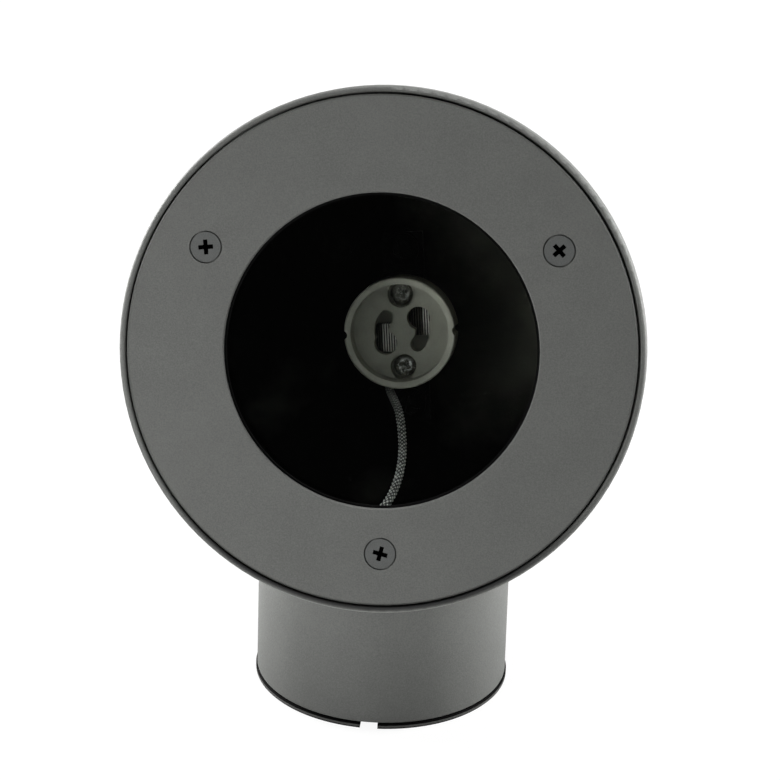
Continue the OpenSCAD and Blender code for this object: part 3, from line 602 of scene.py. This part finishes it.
# %% Blackened screws
SCREW_DARK = (0.086, 0.090, 0.088)
SCREW_LIGHT = (0.124, 0.129, 0.124)
SCREW_ROUGHNESS = (0.38, 0.50)
# Painted shade in the bottom of the cross.
CROSS_SHADE_BLACK = (0.002, 0.002, 0.002, 1)
CROSS_SHADE_DEPTH = (0.15 * MM, 0.75 * MM)


def make_black_screw():
    """A dark coat that fades to painted shade in the bottom of the cross."""
    material, tree, shader = start_material("black_screw")
    grain = add_noise(tree, grain_mm=0.2, detail=4)
    coat = two_tones(tree, grain, SCREW_DARK, SCREW_LIGHT)
    painted_shade = add_range(tree, place_in_head(tree)[0], *CROSS_SHADE_DEPTH, 0.0, 1.0)
    set_inputs(tree, shader, {
        "Base Color": add_blend(tree, painted_shade, coat, CROSS_SHADE_BLACK, kind="RGBA"),
        "Specular IOR Level": add_range(tree, painted_shade, 0, 1, PLAIN_GLOSS, 0.0),
        "Roughness": spread(tree, grain, *SCREW_ROUGHNESS),
    })
    add_bump(tree, shader, grain, depth_mm=0.01)
    return material


black_screw = make_black_screw()
print("cover screws:", black_screw.name)

# %% [markdown]
# The earth lead has a green sleeve with a yellow stripe. The stripe is a band of the angle round the
# lead, but the lead bends, so the simplest true stripe is a slow wave through space across its width.

# %% Earth sleeve
STRIPE_WAVES = 90.0
STRIPE_UNEVEN = 0.4
SLEEVE_GREEN = (0.10, 0.30, 0.04)
SLEEVE_YELLOW = (0.62, 0.52, 0.04)
SLEEVE_ROUGHNESS = (0.40, 0.52)


def make_earth_sleeve():
    """A green sleeve with a yellow stripe."""
    material, tree, shader = start_material("earth_sleeve")
    wave = add_node(tree, "ShaderNodeTexWave", {
        "Vector": place_of(tree), "Scale": STRIPE_WAVES, "Distortion": STRIPE_UNEVEN,
    }).outputs["Fac"]
    set_inputs(tree, shader, {
        "Base Color": add_ramp(tree, wave, [(0.45, SLEEVE_GREEN), (0.55, SLEEVE_YELLOW)]),
        "Roughness": spread(tree, add_noise(tree, grain_mm=0.5), *SLEEVE_ROUGHNESS),
    })
    return material


earth_sleeve = make_earth_sleeve()
print("earth lead:", earth_sleeve.name)

# %% [markdown]
# The pane is clear toughened glass. A renderer's true glass keeps lamps from lighting what is behind it,
# because light bent by glass is hard to find. So rays that look for a lamp pass straight through a plain
# see-through shader, with the loss of a real pane, and all other rays meet true glass.

# %% Glass
PANE_TINT = (0.93, 0.97, 0.95, 1)
PANE_PASSES = (0.80, 0.80, 0.80, 1)
PANE_ROUGHNESS = (0.0, 0.02)


def mix_surfaces(tree, share, shader, other):
    """Shows the other shader in place of the first, by that share."""
    mix = add_node(tree, "ShaderNodeMixShader", {0: share, 1: shader.outputs[0], 2: other.outputs[0]})
    set_inputs(tree, tree.nodes["Material Output"], {"Surface": mix.outputs[0]})


def make_glass():
    """True glass that lets the light of the lamps through."""
    material, tree, shader = start_material("clear_glass")
    set_inputs(tree, shader, {
        "Base Color": PANE_TINT,
        "Transmission Weight": 1.0,
        "IOR": PLAIN_INDEX,
        "Roughness": spread(tree, add_noise(tree, grain_mm=6), *PANE_ROUGHNESS),
    })
    clear = add_node(tree, "ShaderNodeBsdfTransparent", {"Color": PANE_PASSES})
    looks_for_lamp = add_node(tree, "ShaderNodeLightPath").outputs["Is Shadow Ray"]
    mix_surfaces(tree, looks_for_lamp, shader, clear)
    return material


clear_glass = make_glass()
print("pane:", clear_glass.name)

# %% [markdown]
# Each solid of the frame gets its finish in its own material slot. The list reads like a parts list: one
# line for each finish, with the pieces that wear it.

# %% Dress the solids
FINISHES = [
    (tube_coat, ["post_tube", "mounting_foot"]),
    (ring_coat, ["cover_ring"]),
    (housing_coat, ["head_housing"]),
    (pad_rubber, ["base_pad"]),
    (black_rubber, ["cable_grommet", "lead_grommet", "cover_seal", "screw_seals", "glass_seal"]),
    (black_plastic, ["cord_clamp"]),
    (terminal_plastic, ["terminal_block"]),
    (zinc_steel, ["clamp_screws", "terminal_screws", "terminal_fixing_screw", "lampholder_screws",
                  "clip_screws"]),
    (stainless_steel, ["foot_set_screws", "head_set_screws", "glass_clips"]),
    (dark_bracket, ["lampholder_bracket", "bracket_screws"]),
    (nickel, ["lampholder_contacts"]),
    (brass, ["earth_screw"]),
    (earth_sleeve, ["earth_lead"]),
    (core_sleeve, ["lead_cores"]),
    (ceramic, ["lampholder_body"]),
    (black_screw, ["cover_screws"]),
    (clear_glass, ["glass_lens"]),
]
for material, names in FINISHES:
    for name in names:
        for slot in nodes[name].material_slots:
            slot.material = material
print("finishes:", len(FINISHES))

# %% [markdown]
# The lead from the lampholder is the one soft thing in view. It is two cores in a sleeve of braided glass
# fibre. A plain tube would look like wire, so its skin is a mesh whose radius rises and falls with the
# braid: two families of yarns wind round it in opposite turns, and each crossing is a small bright knot.
# The route repeats the points of the solid lead, so the braid lies exactly where the solid is.

# %% Route of the lead
LEAD_RADIUS = 1.05
LEAD_IN_HEAD = [
    (-3.2, -8, 69), (-3, -11, 69.2), (-2.6, -14.8, 67.2), (1.2, -18.9, 52), (3.4, -25, 39), (4, -29.7, 29),
    (3.4, -33.7, 21), (2.2, -36.5, 14.8), (0, -38.9, 11.8), (-3.4, -41, 11.6), (-6.4, -41.8, 14.6),
    (-8.2, -41.6, 20), (-8.7, -41.6, 25), (-9, -42.4, 29.4), (-9.4, -44.4, 31.7), (-10.1, -47.4, 32),
    (-11.2, -52.8, 32), (-11.8, -55.5, 32),
]
LEAD_IN_POST = [(-11, -16.6, 28.6), (-8, -18.6, 25)]
lead_route = [in_head(*p) for p in LEAD_IN_HEAD] + [Vector(p) * MM for p in LEAD_IN_POST]


def smooth_route(points, steps):
    """A smooth curve through the points, with that many steps between each two."""
    out = []
    for i in range(len(points) - 1):
        a = points[max(i - 1, 0)]
        b = points[i]
        c = points[i + 1]
        d = points[min(i + 2, len(points) - 1)]
        for k in range(steps):
            t = k / steps
            out.append(0.5 * (2 * b + (c - a) * t + (2 * a - 5 * b + 4 * c - d) * t ** 2
                              + (3 * b - a - 3 * c + d) * t ** 3))
    out.append(points[-1])
    return out


def even_route(points, gap):
    """The same curve, with points an even gap apart."""
    lengths = [0.0]
    for a, b in zip(points, points[1:]):
        lengths.append(lengths[-1] + (b - a).length)
    count = max(2, round(lengths[-1] / gap))
    out = []
    j = 0
    for k in range(count + 1):
        want = lengths[-1] * k / count
        while j < len(points) - 2 and lengths[j + 1] < want:
            j += 1
        share = (want - lengths[j]) / max(lengths[j + 1] - lengths[j], 1e-12)
        out.append(points[j].lerp(points[j + 1], min(share, 1.0)))
    return out, lengths[-1]


ROUTE_STEPS = 24
BRAID_GAP = 0.16
lead_points, lead_length = even_route(smooth_route(lead_route, ROUTE_STEPS), BRAID_GAP * MM)
print("lead:", round(lead_length / MM, 1), "mm in", len(lead_points), "points")

# %% [markdown]
# A tube along a bent line needs a side direction that doesn't spin. It is carried from point to point,
# each time made square to the line again. The height of the braid at an angle and a place along is the
# product of two sets of ridges, one for each winding, so it stands highest where two yarns cross.

# %% Shape of the braid
BRAID_YARNS = 6
BRAID_PITCH = 9.6
BRAID_HEIGHT = 0.16
BRAID_SIDES = 60


def braid_height(angle, along_mm):
    """How high the braid stands at an angle round the lead and a place along it, from 0 to 1."""
    turn = 2 * math.pi * along_mm / BRAID_PITCH
    ridge = math.cos(BRAID_YARNS * (angle + turn) / 2) ** 2
    counter = math.cos(BRAID_YARNS * (angle - turn) / 2) ** 2
    return ridge * counter


def make_piece(name, bm, material):
    """Turns a finished bmesh into an object of the scene that wears the material."""
    bmesh.ops.recalc_face_normals(bm, faces=bm.faces)
    mesh = bpy.data.meshes.new(name)
    bm.to_mesh(mesh)
    bm.free()
    mesh.materials.append(material)
    piece = bpy.data.objects.new(name, mesh)
    bpy.context.scene.collection.objects.link(piece)
    return piece


def make_braided_tube(name, points, sides, material):
    """A closed tube along points, whose skin rises and falls with the braid and remembers its height."""
    bm = bmesh.new()
    layer = bm.verts.layers.float.new("braid_height")
    along = 0.0
    side = None
    rings = []
    for i, point in enumerate(points):
        heading = (points[min(i + 1, len(points) - 1)] - points[max(i - 1, 0)]).normalized()
        start = side if side is not None else Vector((1, 0, 0))
        side = (start - heading * start.dot(heading)).normalized()
        other = heading.cross(side)
        if i:
            along += (point - points[i - 1]).length
        ring = []
        for k in range(sides):
            angle = 2 * math.pi * k / sides
            out = side * math.cos(angle) + other * math.sin(angle)
            height = braid_height(angle, along / MM)
            radius = LEAD_RADIUS - BRAID_HEIGHT * (1 - height)
            vert = bm.verts.new(point + out * radius * MM)
            vert[layer] = height
            ring.append(vert)
        rings.append(ring)
    for a, b in zip(rings, rings[1:]):
        for k in range(sides):
            bm.faces.new((a[k], a[(k + 1) % sides], b[(k + 1) % sides], b[k]))
    bm.faces.new(list(reversed(rings[0])))
    bm.faces.new(rings[-1])
    for face in bm.faces:
        face.smooth = True
    return make_piece(name, bm, material)


print("braid:", BRAID_YARNS, "yarns each way, one turn in", BRAID_PITCH, "mm")

# %% [markdown]
# The skin remembers how high the braid stands at every point, and the finish reads that back. Glass fibre is
# nearly white, and the knots where the yarns cross keep that colour, while the gaps between them are painted
# dark, as painted shade. A slow noise on top makes some knots dirtier than others.

# %% Braided lead
# Painted shade in the gaps between the knots of the braid.
BRAID_TONES_AND_GAP_SHADE = [(0.08, (0.010, 0.011, 0.010)), (0.30, (0.12, 0.12, 0.115)), (0.60, (0.84, 0.85, 0.82))]
BRAID_UNEVEN = (-0.26, 0.26)
BRAID_ROUGHNESS = (0.42, 0.60)
BRAID_SHEEN = 0.25


def make_braid_material():
    """Light on the knots of the braid and painted shade between them, a little uneven."""
    material, tree, shader = start_material("glass_fibre_braid")
    fibre = add_noise(tree, grain_mm=0.12, detail=4)
    height = add_node(tree, "ShaderNodeAttribute", attribute_name="braid_height").outputs["Fac"]
    uneven = spread(tree, add_noise(tree, grain_mm=1.4, detail=2), *BRAID_UNEVEN)
    set_inputs(tree, shader, {
        "Base Color": add_ramp(tree, add_math(tree, "ADD", height, uneven), BRAID_TONES_AND_GAP_SHADE),
        "Roughness": spread(tree, fibre, *BRAID_ROUGHNESS),
        "Sheen Weight": BRAID_SHEEN,
    })
    add_bump(tree, shader, fibre, depth_mm=0.02)
    return material


braid = make_braid_material()
braided_lead = make_braided_tube("braided_lead", lead_points, BRAID_SIDES, braid)
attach(braided_lead, "post_and_head")
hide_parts("lamp_lead")
print("braided lead:", len(braided_lead.data.polygons), "faces")

# %% [markdown]
# Two screws hold the lampholder, and their heads catch the only glints in the chamber. A solid screw has
# hard edges, which reflect almost nothing. So these heads are modelled as they are pressed: a shallow dome
# with a rounded rim, and a cross whose arms are valleys that rise towards their ends.

# %% Shape of a screw's head
HEAD_RADIUS = 2.7
HEAD_RISE = 2.0
DOME_FALL = 0.50
RIM_START = 2.2
RIM_FALL = 0.7
CROSS_REACH = 1.65
CROSS_HALF_WIDTH = 0.55
CROSS_DEPTH = 1.30


def valley(along, across):
    """How deep an arm of the cross is, from 0 to 1, at a place along and across it."""
    side = max(1 - abs(across) / CROSS_HALF_WIDTH, 0.0)
    end = max(1 - (along / CROSS_REACH) ** 2, 0.0)
    return side * end


def head_height(radius, angle):
    """The height of the head's surface above its seat."""
    dome = HEAD_RISE - DOME_FALL * (radius / HEAD_RADIUS) ** 2
    rim = RIM_FALL * (max(radius - RIM_START, 0.0) / (HEAD_RADIUS - RIM_START)) ** 2
    x = radius * math.cos(angle)
    y = radius * math.sin(angle)
    return dome - rim - CROSS_DEPTH * max(valley(x, y), valley(y, x))


print("screw head:", 2 * HEAD_RADIUS, "mm across,", round(head_height(0, 0), 2), "mm high in the cross")

# %% [markdown]
# Each head is a grid of rings round its centre, which takes its height from the shape above. Below it follow
# the flat underside and the shank. The two screws lie above and below the contacts, and their crosses are
# turned as they happened to stop when they were driven.

# %% Lampholder's screws
SCREW_PITCH = 17.6
SCREW_SEAT_DEPTH = 67.5
SHANK_RADIUS = 1.5
SHANK_LENGTH = 7.0
CROSS_TURNS = ((1, 25), (-1, -25))
HEAD_RINGS = 54
HEAD_SIDES = 96


def add_screw(bm, seat, right_dir, up_dir, turn):
    """Adds one screw whose head sits on the seat and faces out of the head."""
    profile = [(HEAD_RADIUS * k / HEAD_RINGS, None) for k in range(1, HEAD_RINGS + 1)]
    profile += [(HEAD_RADIUS, 0.0), (SHANK_RADIUS, 0.0), (SHANK_RADIUS, -SHANK_LENGTH)]
    middle = bm.verts.new(seat + out_of_face * head_height(0, 0) * MM)
    last = None
    for radius, level in profile:
        ring = []
        for k in range(HEAD_SIDES):
            angle = 2 * math.pi * k / HEAD_SIDES
            across = right_dir * math.cos(angle + turn) + up_dir * math.sin(angle + turn)
            height = head_height(radius, angle) if level is None else level
            ring.append(bm.verts.new(seat + (across * radius + out_of_face * height) * MM))
        for k in range(HEAD_SIDES):
            after = (k + 1) % HEAD_SIDES
            if last is None:
                bm.faces.new((middle, ring[k], ring[after]))
            else:
                bm.faces.new((last[k], ring[k], ring[after], last[after]))
        last = ring
    bm.faces.new(list(reversed(last)))


def make_lampholder_screws(material):
    """Both screws as one piece, one above and one below the contacts."""
    bm = bmesh.new()
    for side, turn in CROSS_TURNS:
        seat = in_head(0, 0, SCREW_SEAT_DEPTH) + holder_up * (side * SCREW_PITCH / 2 * MM)
        add_screw(bm, seat, holder_right, holder_up, math.radians(turn))
    for face in bm.faces:
        face.smooth = len(face.verts) < HEAD_SIDES
    return make_piece("pressed_screws", bm, material)


bright_zinc = make_metal("bright_zinc", (0.66, 0.66, 0.64), 0.22, grain_mm=0.5, relief_mm=0.002)
pressed_screws = make_lampholder_screws(bright_zinc)
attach(pressed_screws, "post_and_head")
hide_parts("lampholder_screws")
print("pressed screws:", len(pressed_screws.data.polygons), "faces")

# %% [markdown]
# The floor is a plain pale sweep. The picture's background is white paper, so for the camera most of the
# floor's light is its own and only a part is what the lamps give it, which keeps a soft shadow under the
# object. The world is white in the same way, but its light on the object is a plain, modest level. Behind
# the camera a studio is dark, and a flat glossy face sees exactly that: without the dark patch the glass
# would look milky. The floor lies a tenth of a millimetre below the pad, since two faces at the same height
# would flicker into each other.

# %% Floor and world
FLOOR_SIZE = 6.0
FLOOR_DROP = 0.1 * MM
FLOOR_OWN_LIGHT = 0.80
FLOOR_GLOW = 1.16
FLOOR_WHITE = (0.48, 0.48, 0.48, 1)
FLOOR_ROUGHNESS = 0.9
WHITE = (1, 1, 1, 1)
WORLD_LEVEL = 0.02
DARK_ROOM = 0.01
DARK_CENTRE = Vector((-0.08, -0.96, 0.25)).normalized()
DARK_EDGE = math.cos(math.radians(34))
DARK_CORE = math.cos(math.radians(18))


def make_floor():
    """A large square whose light is for the most part its own, but only for the camera."""
    mesh = bpy.data.meshes.new("floor")
    half = FLOOR_SIZE / 2
    corners = [(x, y, -FLOOR_DROP) for x, y in ((-half, -half), (half, -half), (half, half), (-half, half))]
    mesh.from_pydata(corners, [], [(0, 1, 2, 3)])
    floor = bpy.data.objects.new("floor", mesh)
    bpy.context.scene.collection.objects.link(floor)
    material, tree, shader = start_material("white_floor")
    set_inputs(tree, shader, {"Base Color": FLOOR_WHITE, "Roughness": FLOOR_ROUGHNESS})
    glow = add_node(tree, "ShaderNodeEmission", {"Color": WHITE, "Strength": FLOOR_GLOW})
    for_camera = add_node(tree, "ShaderNodeLightPath").outputs["Is Camera Ray"]
    mix_surfaces(tree, add_math(tree, "MULTIPLY", for_camera, FLOOR_OWN_LIGHT), shader, glow)
    mesh.materials.append(material)


def make_world():
    """White for the camera, a bright room for mirrors with a dark patch, and a weak light for the rest."""
    world = bpy.data.worlds.new("studio")
    world.use_nodes = True
    bpy.context.scene.world = world
    tree = world.node_tree
    direction = add_node(tree, "ShaderNodeTexCoord").outputs["Generated"]
    facing = add_vector_math(tree, "DOT_PRODUCT", direction, DARK_CENTRE)
    room = add_range(tree, facing, DARK_EDGE, DARK_CORE, 1.0, DARK_ROOM)
    path = add_node(tree, "ShaderNodeLightPath").outputs
    mirrored = add_math(tree, "MAXIMUM", path["Is Glossy Ray"], path["Is Transmission Ray"])
    seen = add_blend(tree, mirrored, WORLD_LEVEL, room)
    level = add_blend(tree, path["Is Camera Ray"], seen, 1.0)
    set_inputs(tree, tree.nodes["Background"], {"Color": WHITE, "Strength": level})


make_floor()
make_world()
print("floor and world ready")

# %% [markdown]
# Soft boxes do the rest, as on a product table. Two stand a little behind the object on its left and right,
# and draw the bright edges of the post. One hangs above. Two small ones stand on the left in front and look
# into the chamber, and as the head is tilted up, the low one reaches the lampholder's upper right rim.

# %% Lamps
def add_lamp(name, place, target, size, watts):
    """A square soft box that looks at the target and isn't seen itself."""
    data = bpy.data.lights.new(name, "AREA")
    data.shape = "SQUARE"
    data.size = size
    data.energy = watts
    lamp = bpy.data.objects.new(name, data)
    lamp.visible_camera = False
    bpy.context.scene.collection.objects.link(lamp)
    place = Vector(place)
    turn = (place - Vector(target)).to_track_quat("Z", "Y").to_matrix().to_4x4()
    lamp.matrix_world = Matrix.Translation(place) @ turn
    return lamp


HEAD_MIDDLE = (0, 0, 0.08)
LAMPS = [
    ("top box", (0, 0.10, 0.92), 0.60, 5.2),
    ("left box", (-0.70, 0.35, 0.28), 0.45, 12.8),
    ("right box", (0.75, 0.24, 0.28), 0.50, 12.6),
    ("high small box", (-0.35, -0.48, 0.26), 0.16, 0.22),
    ("low small box", (-0.33, -0.48, 0.06), 0.12, 1.40),
]
lamps = [add_lamp(name, place, HEAD_MIDDLE, size, watts) for name, place, size, watts in LAMPS]
print("lamps:", ", ".join(lamp.name for lamp in lamps))
